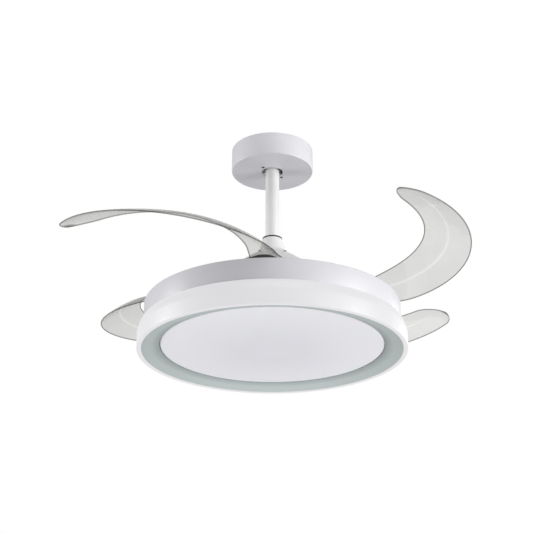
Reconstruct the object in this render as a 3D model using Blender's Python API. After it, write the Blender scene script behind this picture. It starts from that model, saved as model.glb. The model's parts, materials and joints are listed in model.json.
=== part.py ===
"""Ceiling fan with a drum-shaped light and four clear blades that fold away above the drum.

The origin is on the fan's axis at the ceiling, +Z is up, and everything hangs below z = 0.
Dimensions are in millimetres and are turned into metres as each mesh is made.
Heights marked "h" are measured from the top of the light drum.
"""

import math

import bmesh
import bpy
from mathutils import Matrix, Vector

MM = 0.001

# ---------------------------------------------------------------- driving dimensions
DROP = 333.0  # ceiling to the top of the light drum

CANOPY_R = 79.5
CANOPY_H = 46.0
CANOPY_HOLE_R = 20.5

ROD_R = 13.25
ROD_BORE_R = 11.0
BALL_R = 22.0
BALL_Z = -19.0  # centre of the hanger ball, the point that the fan rocks about

DRUM_R = 239.0  # upper tier of the drum
DRUM_H = 42.0
RING_R = 250.0  # lower ring of the drum
RING_H = 46.5
LIP_R = 241.5
DIFFUSER_R = 207.0

BLADE_COUNT = 4
PIVOT_R = 132.0  # blade pivots lie on this circle
PIVOT_ANGLE = -18.5
BLADE_THICKNESS = 2.4
# The blade's centreline, in plan: an arc.
ARC_CENTRE = (119.5, -182.0)
ARC_R_ROOT = 186.5
ARC_R_TIP = 186.5
ARC_START = 95.0
ARC_END = -63.5
BLADE_H_ROOT = 18.0
BLADE_H_TIP = 74.0
# Values along the blade, root to tip, blended as a cubic curve.
HALF_WIDTH = (36.0, 36.0, 57.5, 30.5)
PITCH = (0.0, -63.5, -10.0, -18.5)
CROWN = (2.5, 10.5, -2.0, 4.5)
FLAT_ROOT = (0.095, 0.21)  # the root is flat up to the first, and fully shaped from the second
ROOT_TRIM = (11.0, 0.3)  # taken off the outer side at the root, fading out at the second
TIP = (0.3, 0.95, 0.905)  # the tip leans to the outer side, and where its outer and inner curves begin

GEAR_MODULE = 4.0
SUN_TEETH = 48
BLADE_TEETH = 18
BACKLASH = 0.7
GAP = 0.3  # between pieces that touch or slide

MOTOR_R = 80.0
TRAY_R = 174.5

SIDES_BIG = 60
SIDES_MID = 24
SIDES_SMALL = 12

# ---------------------------------------------------------------- a clean scene
for item in list(bpy.data.objects):
    bpy.data.objects.remove(item)


# ---------------------------------------------------------------- materials
def material(name, colour, roughness, metallic=0.0, alpha=1.0, transmission=0.0):
    found = bpy.data.materials.get(name)
    if found:
        return found
    made = bpy.data.materials.new(name)
    made.use_nodes = True
    shader = made.node_tree.nodes["Principled BSDF"]
    shader.inputs["Base Color"].default_value = (*colour, 1.0)
    shader.inputs["Roughness"].default_value = roughness
    shader.inputs["Metallic"].default_value = metallic
    shader.inputs["Alpha"].default_value = alpha
    shader.inputs["Transmission Weight"].default_value = transmission
    made.diffuse_color = (*colour, alpha)
    return made


FINISH = {
    "white_paint": ((0.80, 0.80, 0.82), 0.35),
    "white_plastic": ((0.82, 0.82, 0.83), 0.45),
    "clear_plastic": ((0.80, 0.81, 0.80), 0.08, 0.0, 0.45, 0.9),
    "opal_plastic": ((0.86, 0.86, 0.88), 0.30),
    "black_plastic": ((0.03, 0.03, 0.035), 0.40),
    "black_rubber": ((0.03, 0.03, 0.03), 0.80),
    "silver_paint": ((0.52, 0.56, 0.56), 0.35, 0.6),
    "zinc_steel": ((0.55, 0.55, 0.56), 0.35, 1.0),
    "dark_steel": ((0.12, 0.12, 0.13), 0.45, 1.0),
    "nylon": ((0.75, 0.74, 0.70), 0.55),
    "copper": ((0.75, 0.35, 0.18), 0.35, 1.0),
    "board": ((0.85, 0.85, 0.84), 0.50),
}


# ---------------------------------------------------------------- making objects
def finish(name, mesh_data, kind, origin=(0.0, 0.0, 0.0), smooth=True, parent=None):
    """Turns a bmesh in millimetres into an object whose origin is at the given point."""
    offset = Vector(origin)
    bmesh.ops.translate(mesh_data, verts=mesh_data.verts, vec=-offset)
    bmesh.ops.scale(mesh_data, verts=mesh_data.verts, vec=(MM, MM, MM))
    bmesh.ops.recalc_face_normals(mesh_data, faces=mesh_data.faces)
    if mesh_data.calc_volume(signed=True) < 0:
        bmesh.ops.reverse_faces(mesh_data, faces=mesh_data.faces)
    mesh = bpy.data.meshes.new(name)
    mesh_data.to_mesh(mesh)
    mesh_data.free()
    obj = bpy.data.objects.new(name, mesh)
    bpy.context.scene.collection.objects.link(obj)
    mesh.materials.append(material(kind, *FINISH[kind]))
    if smooth:
        mesh.shade_smooth()
        mesh.set_sharp_from_angle(angle=math.radians(35))
    if parent:
        obj.parent = parent
        obj.location = offset * MM - parent.location
    else:
        obj.location = offset * MM
    return obj


def lathe_mesh(profile, sides, centre=(0.0, 0.0, 0.0)):
    """Spins a closed outline of (radius, height) points about the vertical axis."""
    made = bmesh.new()
    points = [made.verts.new((r, 0.0, z)) for r, z in profile]
    edges = []
    for i, point in enumerate(points):
        following = points[(i + 1) % len(points)]
        on_axis = profile[i][0] == 0 and profile[(i + 1) % len(points)][0] == 0
        if not on_axis:
            edges.append(made.edges.new((point, following)))
    bmesh.ops.spin(
        made,
        geom=points + edges,
        cent=(0, 0, 0),
        axis=(0, 0, 1),
        angle=2 * math.pi,
        steps=sides,
        use_merge=True,
    )
    bmesh.ops.remove_doubles(made, verts=made.verts, dist=1e-4)
    bmesh.ops.translate(made, verts=made.verts, vec=centre)
    return made


def lathe(name, profile, kind, sides=SIDES_MID, centre=(0.0, 0.0, 0.0), **kw):
    return finish(name, lathe_mesh(profile, sides, centre), kind, **kw)


def prism_mesh(outline, low, high):
    """Extrudes an outline of (x, y) points from one height to another."""
    made = bmesh.new()
    face = made.faces.new([made.verts.new((x, y, low)) for x, y in outline])
    raised = bmesh.ops.extrude_face_region(made, geom=[face])
    top = [item for item in raised["geom"] if isinstance(item, bmesh.types.BMVert)]
    bmesh.ops.translate(made, verts=top, vec=(0, 0, high - low))
    return made


def prism(name, outline, low, high, kind, **kw):
    return finish(name, prism_mesh(outline, low, high), kind, **kw)


def stack_mesh(levels):
    """Joins outlines of equal point count, one above the other, and closes both ends."""
    made = bmesh.new()
    loops = [[made.verts.new((x, y, z)) for x, y in outline] for outline, z in levels]
    for low, high in zip(loops, loops[1:]):
        count = len(low)
        for i in range(count):
            j = (i + 1) % count
            made.faces.new((low[i], low[j], high[j], high[i]))
    made.faces.new(list(reversed(loops[0])))
    made.faces.new(loops[-1])
    return made


def box_mesh(low, high, bevel=0.0):
    made = bmesh.new()
    bmesh.ops.create_cube(made, size=1.0)
    size = [b - a for a, b in zip(low, high)]
    centre = [(a + b) / 2 for a, b in zip(low, high)]
    bmesh.ops.scale(made, verts=made.verts, vec=size)
    bmesh.ops.translate(made, verts=made.verts, vec=centre)
    if bevel:
        bmesh.ops.bevel(
            made, geom=list(made.edges), offset=bevel, segments=1, affect="EDGES"
        )
    return made


def box(name, low, high, kind, bevel=0.0, **kw):
    return finish(name, box_mesh(low, high, bevel), kind, smooth=False, **kw)


def rod_mesh(start, end, radius, sides=SIDES_SMALL):
    """A plain cylinder between two points."""
    start, end = Vector(start), Vector(end)
    made = bmesh.new()
    bmesh.ops.create_cone(
        made,
        cap_ends=True,
        segments=sides,
        radius1=radius,
        radius2=radius,
        depth=(end - start).length,
    )
    turn = Vector((0, 0, 1)).rotation_difference(end - start).to_matrix().to_4x4()
    bmesh.ops.transform(
        made, matrix=Matrix.Translation((start + end) / 2) @ turn, verts=made.verts
    )
    return made


CUTTER_COUNT = [0]


def shape(obj, mesh_data, operation="DIFFERENCE"):
    """Cuts a helper shape out of an object, or joins it on. The helper stays hidden."""
    CUTTER_COUNT[0] += 1
    helper = finish(
        "helper_%02d" % CUTTER_COUNT[0], mesh_data, "zinc_steel", smooth=False
    )
    helper.hide_render = True
    helper.display_type = "WIRE"
    change = obj.modifiers.new(operation.lower(), "BOOLEAN")
    change.operation = operation
    change.object = helper
    change.solver = "EXACT"
    return obj


def turned(point, degrees):
    a = math.radians(degrees)
    x, y = point
    return (x * math.cos(a) - y * math.sin(a), x * math.sin(a) + y * math.cos(a))


def on_circle(radius, degrees, centre=(0.0, 0.0)):
    a = math.radians(degrees)
    return (centre[0] + radius * math.cos(a), centre[1] + radius * math.sin(a))


def hull_of_two_circles(c1, r1, c2, r2, per_circle=10):
    """The outline of a plate with one round end about c1 and the other about c2."""
    dx, dy = c2[0] - c1[0], c2[1] - c1[1]
    length = math.hypot(dx, dy)
    heading = math.degrees(math.atan2(dy, dx))
    lean = math.degrees(math.acos((r1 - r2) / length))
    points = []
    for i in range(per_circle):
        a = heading + lean + (360 - 2 * lean) * i / (per_circle - 1)
        points.append(on_circle(r1, a, c1))
    for i in range(per_circle):
        a = heading - lean + 2 * lean * i / (per_circle - 1)
        points.append(on_circle(r2, a, c2))
    return points


def gear_outline(teeth, centre, tooth_at, thin, first=0, last=None):
    """Straight-flanked teeth, counted from the one that points along tooth_at, in degrees.

    Teeth from first to last are cut, and the rest of the rim stays round.
    """
    pitch = GEAR_MODULE * teeth / 2
    levels = (
        (pitch - 1.2 * GEAR_MODULE, 1.17),
        (pitch + 0.9 * GEAR_MODULE, 0.46),
    )
    points = []
    last = teeth - 1 if last is None else last
    for i in range(first, first + teeth):
        middle = tooth_at + 360.0 * i / teeth
        if i > last:
            points.append(on_circle(levels[0][0], middle, centre))
            continue
        half = [
            math.degrees((width * GEAR_MODULE - thin) / radius)
            for radius, width in levels
        ]
        points.append(on_circle(levels[0][0], middle - half[0], centre))
        points.append(on_circle(levels[1][0], middle - half[1], centre))
        points.append(on_circle(levels[1][0], middle + half[1], centre))
        points.append(on_circle(levels[0][0], middle + half[0], centre))
    return points


def Z(h):
    """Height above the ceiling plane of a height above the drum."""
    return h - DROP


# ---------------------------------------------------------------- groups that move
def group(name, point):
    empty = bpy.data.objects.new(name, None)
    empty.location = Vector(point) * MM
    empty.empty_display_size = 0.03
    bpy.context.scene.collection.objects.link(empty)
    return empty


HANGING = group("hanging_axis", (0, 0, BALL_Z))
ROTOR = group("rotor_axis", (0, 0, Z(0)))
SUN = group("sun_gear_axis", (0, 0, Z(0)))
PIVOTS = []
for k in range(BLADE_COUNT):
    px, py = on_circle(PIVOT_R, PIVOT_ANGLE + 90 * k)
    PIVOTS.append(group("blade_axis_%d" % (k + 1), (px, py, Z(0))))

# ================================================================ ceiling mount
# Steel bracket: a ceiling plate with a hanging cradle that the ball drops into.
bracket = box("mounting_bracket", (-62, -19, -2.5), (62, 19, 0), "zinc_steel")
for side in (-1, 1):
    shape(bracket, box_mesh((side * 35 - 1.25, -17, -35.5), (side * 35 + 1.25, 17, -1)), "UNION")
shape(bracket, box_mesh((-36.25, -24, -35.5), (36.25, 24, -33)), "UNION")
shape(bracket, rod_mesh((0, 0, -40), (0, 0, -30), 17.0, SIDES_MID))
# The cradle is open to one side, so that the ball and rod can be hung in it.
shape(bracket, box_mesh((-14.5, -30, -40), (14.5, 0, -30)))
for side in (-1, 1):
    shape(bracket, box_mesh((side * 50 - 7, -2.6, -4), (side * 50 + 7, 2.6, 2)))
CANOPY_SCREWS = [on_circle(27.5, 49), on_circle(27.5, 229)]
for x, y in CANOPY_SCREWS:
    shape(bracket, rod_mesh((x, y, -40), (x, y, -30), 2.3, 12))

# Rubber seat between the ball and the cradle.
lathe(
    "ball_seat",
    [
        (17.2, -32.7),
        (21.6, -32.7),
        (23.0, -27.0),
        (21.5, -27.0),
        (18.2, -32.2),
    ],
    "black_rubber",
    sides=24,
)

canopy = lathe(
    "canopy",
    [
        (CANOPY_R, -0.6),
        (CANOPY_R, -CANOPY_H + 1.6),
        (CANOPY_R - 1.6, -CANOPY_H),
        (CANOPY_HOLE_R, -CANOPY_H),
        (CANOPY_HOLE_R, -CANOPY_H + 1.5),
        (CANOPY_R - 1.5, -CANOPY_H + 1.5),
        (CANOPY_R - 1.5, -0.6),
    ],
    "white_paint",
    sides=40,
)
for x, y in CANOPY_SCREWS:
    shape(canopy, rod_mesh((x, y, -CANOPY_H - 2), (x, y, -CANOPY_H + 4), 3.4, 14))
for i, (x, y) in enumerate(CANOPY_SCREWS):
    lathe(
        "canopy_screw_%d" % (i + 1),
        [
            (0, -CANOPY_H + 0.2),
            (3.0, -CANOPY_H + 0.2),
            (3.0, -CANOPY_H + 1.4),
            (1.9, -CANOPY_H + 2.4),
            (1.9, -31.5),
            (0, -31.5),
        ],
        "dark_steel",
        sides=14,
        centre=(x, y, 0),
    )

# Screw terminals for the supply wires, on the bracket plate.
terminal = box("terminal_block", (-20, -9.0, -9.5), (20, 9.0, -2.8), "nylon", 0.8)
for i in range(3):
    shape(terminal, rod_mesh((-12 + 12 * i, 12, -6.2), (-12 + 12 * i, -12, -6.2), 1.9, 10))

# ================================================================ hanging, not turning
TOP_OF_ROD = -11.2
BOTTOM_OF_ROD = Z(124)

# Half ball that sits in the cradle.
ball_profile = [(ROD_R + GAP, BALL_Z + 6.5)]
for i in range(6):
    a = math.radians(17.2 - (17.2 + 51.5) * i / 5)
    ball_profile.append((BALL_R * math.cos(a), BALL_Z + BALL_R * math.sin(a)))
ball_profile.append((ROD_R + GAP, ball_profile[-1][1]))
ball = lathe("hanger_ball", ball_profile, "black_plastic", sides=24, parent=HANGING)
PIN_Z = BALL_Z - 1.5
shape(ball, rod_mesh((-30, 0, PIN_Z), (30, 0, PIN_Z), 3.0 + GAP, 16))

down_rod = lathe(
    "down_rod",
    [
        (ROD_R, TOP_OF_ROD),
        (ROD_R, BOTTOM_OF_ROD),
        (ROD_BORE_R, BOTTOM_OF_ROD),
        (ROD_BORE_R, TOP_OF_ROD),
    ],
    "white_paint",
    sides=24,
    parent=HANGING,
)
shape(down_rod, rod_mesh((-30, 0, PIN_Z), (30, 0, PIN_Z), 3.0 + GAP, 16))
finish(
    "cross_pin",
    rod_mesh((-19.5, 0, PIN_Z), (19.5, 0, PIN_Z), 3.0, 16),
    "zinc_steel",
    parent=HANGING,
)
COUPLING_PIN_Z = Z(132)
shape(down_rod, rod_mesh((0, -30, COUPLING_PIN_Z), (0, 30, COUPLING_PIN_Z), 2.5 + GAP, 16))

lathe(
    "rod_collar",
    [
        (ROD_R + GAP, Z(143.6)),
        (17.8, Z(143.6)),
        (17.2, Z(146.8)),
        (ROD_R + GAP, Z(146.8)),
    ],
    "white_plastic",
    sides=24,
    parent=HANGING,
)
lathe(
    "gasket_ring",
    [
        (ROD_R + GAP, Z(140.7)),
        (18.8, Z(140.7)),
        (18.8, Z(143.3)),
        (ROD_R + GAP, Z(143.3)),
    ],
    "black_rubber",
    sides=24,
    parent=HANGING,
)

# Trumpet-shaped cover over the coupling.
TRUMPET = [
    (19.0, 140.4),
    (21.4, 132.5),
    (24.6, 120.0),
    (27.6, 113.0),
    (37.0, 106.0),
    (57.6, 91.2),
    (98.0, 62.0),
    (100.0, 59.0),
    (100.0, 56.5),
]
trumpet_profile = [(r, Z(h)) for r, h in TRUMPET]
trumpet_profile += [(98.5, Z(56.5)), (98.5, Z(58.6)), (96.9, Z(60.7))]
# Thicker where the screws go through.
trumpet_profile += [(56.2, Z(88.6)), (38.0, Z(101.9)), (35.0, Z(104.6)), (26.2, Z(112.0)), (23.2, Z(119.0))]
trumpet_profile += [(17.4, Z(139.1)), (ROD_R + GAP, Z(139.1)), (ROD_R + GAP, Z(140.4))]
cover = lathe("coupling_cover", trumpet_profile, "white_plastic", sides=32, parent=HANGING)
# Screw bosses: they stand on the coupling's flange and give each screw head a flat, sunk seat.
COVER_SCREWS = [on_circle(48.0, a) for a in (-60, -120, 60, 120)]
for x, y in COVER_SCREWS:
    shape(cover, rod_mesh((x, y, Z(87.3)), (x, y, Z(97.4)), 3.8, 12), "UNION")
for x, y in COVER_SCREWS:
    shape(cover, rod_mesh((x, y, Z(97.4)), (x, y, Z(108)), 3.3, 12))
    shape(cover, rod_mesh((x, y, Z(80)), (x, y, Z(112)), 1.9, 12))

# Coupling: takes the rod from above, the motor shaft from below, and the cover's screws.
coupling = lathe(
    "motor_coupling",
    [
        (8.3, Z(84.0)),
        (54.0, Z(84.0)),
        (54.0, Z(87.0)),
        (16.6, Z(87.0)),
        (16.6, Z(138.8)),
        (ROD_R + GAP, Z(138.8)),
        (ROD_R + GAP, Z(123.5)),
        (8.3, Z(123.5)),
    ],
    "zinc_steel",
    sides=24,
    parent=HANGING,
)
shape(coupling, rod_mesh((0, -30, COUPLING_PIN_Z), (0, 30, COUPLING_PIN_Z), 2.5 + GAP, 16))
for x, y in COVER_SCREWS:
    shape(coupling, rod_mesh((x, y, Z(80)), (x, y, Z(90)), 1.9, 12))
finish(
    "coupling_pin",
    rod_mesh((0, -16.2, COUPLING_PIN_Z), (0, 16.2, COUPLING_PIN_Z), 2.5, 16),
    "zinc_steel",
    parent=HANGING,
)
for i, (x, y) in enumerate(COVER_SCREWS):
    lathe(
        "cover_screw_%d" % (i + 1),
        [
            (0, Z(84.5)),
            (1.6, Z(84.5)),
            (1.6, Z(97.7)),
            (2.7, Z(97.7)),
            (2.7, Z(100.2)),
            (0, Z(100.2)),
        ],
        "dark_steel",
        sides=12,
        centre=(x, y, 0),
        parent=HANGING,
    )

# Hollow shaft: fixed to the coupling above and to the light drum below.
shaft = lathe(
    "motor_shaft",
    [
        (5.0, Z(-16.0)),
        (8.0, Z(-16.0)),
        (8.0, Z(0.3)),
        (14.0, Z(0.3)),
        (14.0, Z(2.6)),
        (8.0, Z(2.6)),
        (8.0, Z(18.0)),
        (10.0, Z(18.0)),
        (10.0, Z(66.2)),
        (8.0, Z(66.2)),
        (8.0, Z(121.0)),
        (5.0, Z(121.0)),
    ],
    "zinc_steel",
    sides=16,
    parent=HANGING,
)
for name, low in (("lower_bearing", 8.5), ("upper_bearing", 66.6)):
    lathe(
        name,
        [
            (8.0 + GAP, Z(low)),
            (15.0, Z(low)),
            (15.0, Z(low + 9.0)),
            (8.0 + GAP, Z(low + 9.0)),
        ],
        "zinc_steel",
        sides=16,
        parent=HANGING,
    )

# Stator: a slotted iron core with a winding above and below.
slots = 9
core_outline = []
for i in range(slots):
    middle = 360.0 * i / slots
    for radius, lean in ((34, -9), (57, -6), (57, -17.5), (64, -17.5), (64, 17.5), (57, 17.5), (57, 6), (34, 9)):
        core_outline.append(on_circle(radius, middle + lean))
core = prism("stator_core", core_outline, Z(32), Z(52), "dark_steel", parent=HANGING)
shape(core, rod_mesh((0, 0, Z(25)), (0, 0, Z(60)), 10.0 + GAP, 24))


for name, near, shoulder, far in (
    ("stator_winding_upper", 52.3, 58.0, 61.5),
    ("stator_winding_lower", 31.7, 26.5, 23.0),
):
    lathe(
        name,
        [
            (36.0, Z(near)),
            (54.0, Z(near)),
            (54.0, Z(shoulder)),
            (49.5, Z(far)),
            (40.5, Z(far)),
            (36.0, Z(shoulder)),
        ],
        "copper",
        sides=20,
        parent=HANGING,
    )

# ---------------------------------------------------------------- light drum
pan = lathe(
    "drum_housing",
    [
        (8.0 + GAP, Z(0)),
        (DRUM_R - 1.6, Z(0)),
        (DRUM_R, Z(-1.6)),
        (DRUM_R, Z(-DRUM_H)),
        (DRUM_R - 1.6, Z(-DRUM_H)),
        (DRUM_R - 1.6, Z(-1.6)),
        (8.0 + GAP, Z(-1.6)),
    ],
    "white_paint",
    sides=SIDES_BIG,
    parent=HANGING,
)
ring_low = -DRUM_H - RING_H
lower_ring = lathe(
    "lower_ring",
    [
        (DRUM_R + GAP, Z(-40.6)),
        (DRUM_R + 3.6, Z(-40.6)),
        (RING_R - 3.6, Z(-46.4)),
        (RING_R, Z(-59.0)),
        (RING_R, Z(ring_low + 1.6)),
        (RING_R - 1.6, Z(ring_low)),
        (LIP_R, Z(ring_low)),
        (LIP_R, Z(ring_low + 2.2)),
        (RING_R - 2.4, Z(ring_low + 3.0)),
        (RING_R - 2.4, Z(-59.0)),
        (RING_R - 6.8, Z(-45.6)),
        (224.0, Z(-45.4)),
        (224.0, Z(-DRUM_H - GAP)),
        (DRUM_R + GAP, Z(-DRUM_H - GAP)),
    ],
    "white_plastic",
    sides=SIDES_BIG,
    parent=HANGING,
)
# Bright cone between the ring's lip and the light.
reflector = lathe(
    "reflector",
    [
        (LIP_R - GAP, Z(ring_low + 2.6)),
        (LIP_R - GAP, Z(ring_low + 1.2)),
        (207.9, Z(-78.0)),
        (207.9, Z(-71.2)),
        (215.0, Z(-71.2)),
        (215.0, Z(-72.4)),
        (209.3, Z(-72.4)),
        (209.3, Z(-77.0)),
    ],
    "silver_paint",
    sides=SIDES_BIG,
    parent=HANGING,
)
# Opal diffuser: a shallow dish whose rim rests on the cone's neck.
diffuser = lathe(
    "diffuser",
    [
        (0.0, Z(-83.4)),
        (90.0, Z(-82.6)),
        (170.0, Z(-80.4)),
        (203.0, Z(-78.6)),
        (DIFFUSER_R + 0.3, Z(-76.0)),
        (DIFFUSER_R + 0.3, Z(-70.9)),
        (213.0, Z(-70.9)),
        (213.0, Z(-69.4)),
        (DIFFUSER_R - 1.4, Z(-69.4)),
        (DIFFUSER_R - 1.4, Z(-75.2)),
        (170.0, Z(-78.6)),
        (90.0, Z(-80.8)),
        (0.0, Z(-81.6)),
    ],
    "opal_plastic",
    sides=SIDES_BIG,
    parent=HANGING,
)
led_board = lathe(
    "led_board",
    [
        (12.0, Z(-42.0)),
        (DRUM_R - 1.6 - 2.4, Z(-42.0)),
        (DRUM_R - 1.6 - 2.4, Z(-40.4)),
        (12.0, Z(-40.4)),
    ],
    "board",
    sides=SIDES_BIG,
    parent=HANGING,
)
for i in range(3):
    a = 90 + 120 * i
    made = bmesh.new()
    outline = [
        (216.0, -42.3),
        (219.5, -42.3),
        (219.5, -74.6),
        (211.0, -74.6),
        (211.0, -72.8),
        (216.0, -72.8),
    ]
    face = made.faces.new([made.verts.new((r, -8.0, Z(h))) for r, h in outline])
    raised = bmesh.ops.extrude_face_region(made, geom=[face])
    bmesh.ops.translate(
        made,
        verts=[v for v in raised["geom"] if isinstance(v, bmesh.types.BMVert)],
        vec=(0, 16.0, 0),
    )
    bmesh.ops.rotate(
        made, verts=made.verts, cent=(0, 0, 0), matrix=Matrix.Rotation(math.radians(a), 3, "Z")
    )
    finish("diffuser_clip_%d" % (i + 1), made, "zinc_steel", smooth=False, parent=HANGING)

box("led_driver", (-140, -32, Z(-27)), (-70, 32, Z(-1.9)), "white_plastic", 1.5, parent=HANGING)
box("receiver_box", (72, -24, Z(-24)), (142, 24, Z(-1.9)), "black_plastic", 1.5, parent=HANGING)
nut = prism(
    "shaft_nut",
    [on_circle(15.0, 60 * i) for i in range(6)],
    Z(-9.0),
    Z(-1.9),
    "zinc_steel",
    smooth=False,
    parent=HANGING,
)
shape(nut, rod_mesh((0, 0, Z(-20)), (0, 0, Z(5)), 8.0 + GAP, 24))

# ================================================================ turning with the motor
tray = lathe(
    "blade_carrier",
    [
        (21.0, Z(3.2)),
        (TRAY_R, Z(3.2)),
        (TRAY_R, Z(9.8)),
        (TRAY_R - 1.6, Z(9.8)),
        (TRAY_R - 1.6, Z(4.8)),
        (21.0, Z(4.8)),
    ],
    "white_plastic",
    sides=30,
    parent=ROTOR,
)
lid = lathe(
    "carrier_cover",
    [
        (81.2, Z(10.1)),
        (TRAY_R, Z(10.1)),
        (TRAY_R, Z(10.7)),
        (TRAY_R - 1.0, Z(11.5)),
        (81.2, Z(11.5)),
    ],
    "white_plastic",
    sides=30,
    parent=ROTOR,
)
base = lathe(
    "rotor_base",
    [
        (10.5, Z(5.1)),
        (78.0, Z(5.1)),
        (78.0, Z(13.4)),
        (75.0, Z(13.4)),
        (75.0, Z(8.0)),
        (20.0, Z(8.0)),
        (20.0, Z(17.4)),
        (15.0 + GAP, Z(17.4)),
        (15.0 + GAP, Z(8.0)),
        (10.5, Z(8.0)),
    ],
    "zinc_steel",
    sides=SIDES_MID,
    parent=ROTOR,
)
motor_cover = lathe(
    "motor_cover",
    [
        (10.5, Z(80.0)),
        (24.0, Z(80.0)),
        (26.0, Z(77.6)),
        (66.0, Z(76.6)),
        (77.0, Z(70.0)),
        (MOTOR_R, Z(60.0)),
        (MOTOR_R, Z(13.7)),
        (77.6, Z(13.7)),
        (77.6, Z(59.6)),
        (64.6, Z(74.4)),
        (20.0, Z(75.0)),
        (20.0, Z(67.0)),
        (15.0 + GAP, Z(67.0)),
        (15.0 + GAP, Z(76.2)),
        (10.5, Z(76.2)),
    ],
    "white_paint",
    sides=SIDES_MID,
    parent=ROTOR,
)
lathe(
    "magnet_ring",
    [
        (66.5, Z(27.0)),
        (77.0, Z(27.0)),
        (77.0, Z(57.0)),
        (66.5, Z(57.0)),
    ],
    "dark_steel",
    sides=SIDES_MID,
    parent=ROTOR,
)

# Flat spiral spring that draws the blades in when the motor stops.
spring = bmesh.new()
turns, per_turn = 2.25, 22
inner, outer = [], []
steps = int(turns * per_turn)
for i in range(steps + 1):
    a = 360.0 * i / per_turn
    radius = 83.0 + 5.6 * i / steps
    inner.append(on_circle(radius, a))
    outer.append(on_circle(radius + 0.7, a))
rows = []
for (x0, y0), (x1, y1) in zip(inner, outer):
    rows.append(
        [
            spring.verts.new((x0, y0, Z(7.2))),
            spring.verts.new((x1, y1, Z(7.2))),
            spring.verts.new((x1, y1, Z(9.4))),
            spring.verts.new((x0, y0, Z(9.4))),
        ]
    )
for a, b in zip(rows, rows[1:]):
    for i in range(4):
        j = (i + 1) % 4
        spring.faces.new((a[i], a[j], b[j], b[i]))
spring.faces.new(rows[0])
spring.faces.new(list(reversed(rows[-1])))
finish("return_spring", spring, "zinc_steel", parent=ROTOR)

# ================================================================ gear that keeps the blades in step
sun = prism(
    "sun_gear",
    gear_outline(SUN_TEETH, (0, 0), PIVOT_ANGLE, BACKLASH / 2),
    Z(5.3),
    Z(9.6),
    "nylon",
    smooth=False,
    parent=SUN,
)
shape(sun, rod_mesh((0, 0, Z(0)), (0, 0, Z(15)), 79.4, SIDES_MID))
shape(
    sun,
    lathe_mesh([(70.0, Z(6.8)), (91.2, Z(6.8)), (91.2, Z(12.0)), (70.0, Z(12.0))], SIDES_MID),
)

# ================================================================ blades


def along(values, u):
    a, b, c, d = values
    v = 1 - u
    return a * v**3 + 3 * b * v * v * u + 3 * c * v * u * u + d * u**3


def ease(u):
    t = min(1.0, max(0.0, (u - FLAT_ROOT[0]) / (FLAT_ROOT[1] - FLAT_ROOT[0])))
    return t * t * (3 - 2 * t)


def blade_section(u):
    """Centre, sideways and upward directions, half width and crown at one place along the blade."""
    a = math.radians(ARC_START + (ARC_END - ARC_START) * u)
    radius = ARC_R_ROOT + (ARC_R_TIP - ARC_R_ROOT) * u
    out = Vector((math.cos(a), math.sin(a), 0))
    trim = ROOT_TRIM[0] * max(0.0, 1 - (u / ROOT_TRIM[1]) ** 2) ** 2
    centre = Vector((*ARC_CENTRE, Z(BLADE_H_ROOT + (BLADE_H_TIP - BLADE_H_ROOT) * u)))
    centre += out * (radius - trim)
    tilt = math.radians(along(PITCH, u)) * ease(u)
    side = out * math.cos(tilt) + Vector((0, 0, math.sin(tilt)))
    up = Vector((0, 0, math.cos(tilt))) - out * math.sin(tilt)
    width = along(HALF_WIDTH, u) - trim
    crown = along(CROWN, u) * ease(u) + 0.6 * (1 - ease(u))
    skew, from_outer, from_inner = TIP
    outer = min(1.0, max(0.0, (u - from_outer) / (1 - from_outer)))
    inner = min(1.0, max(0.0, (u - from_inner) / (1 - from_inner)))
    outer = skew + (1 - skew) * max(0.0, 1 - outer * outer) ** 0.65
    inner = (1 + skew) * max(0.0, 1 - inner * inner) ** 0.52 - skew
    round_off = (outer + inner) / 2
    centre += side * (width * (outer - inner) / 2)
    return centre, side, up, width * round_off, crown * round_off


def blade_mesh(stations=28, across=7):
    made = bmesh.new()
    rows = []
    for i in range(stations):
        u = 0.985 * i / (stations - 1) if i < stations - 5 else None
        if u is None:
            # Closer together round the tip.
            j = i - (stations - 5)
            start = 0.985 * (stations - 6) / (stations - 1)
            steps_left = (0.30, 0.55, 0.75, 0.90, 1.0)
            u = start + (0.9985 - start) * steps_left[j]
        centre, side, up, width, crown = blade_section(u)
        top, bottom = [], []
        for j in range(across):
            s = -1 + 2 * j / (across - 1)
            point = centre + side * (s * width) + up * (crown * (1 - s * s))
            top.append(point + up * (BLADE_THICKNESS / 2))
            bottom.append(point - up * (BLADE_THICKNESS / 2))
        rows.append([made.verts.new(p) for p in top + bottom[::-1]])
    for a, b in zip(rows, rows[1:]):
        count = len(a)
        for i in range(count):
            j = (i + 1) % count
            made.faces.new((a[i], a[j], b[j], b[i]))
    for row in (rows[0], rows[-1]):
        for j in range(across - 1):
            made.faces.new((row[j], row[j + 1], row[-2 - j], row[-1 - j]))
    return made


# The arm turns clockwise as the blade folds, so its teeth lead round from the sun gear.
MESHING_TEETH = (-2, 6)
CAP_CENTRE = (132.0, -14.5)
PIVOT = on_circle(PIVOT_R, PIVOT_ANGLE)
SEAT = (105.0, -10.0)


def turn_mesh(made, degrees):
    bmesh.ops.rotate(
        made, verts=made.verts, cent=(0, 0, 0), matrix=Matrix.Rotation(math.radians(degrees), 3, "Z")
    )
    return made


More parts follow.
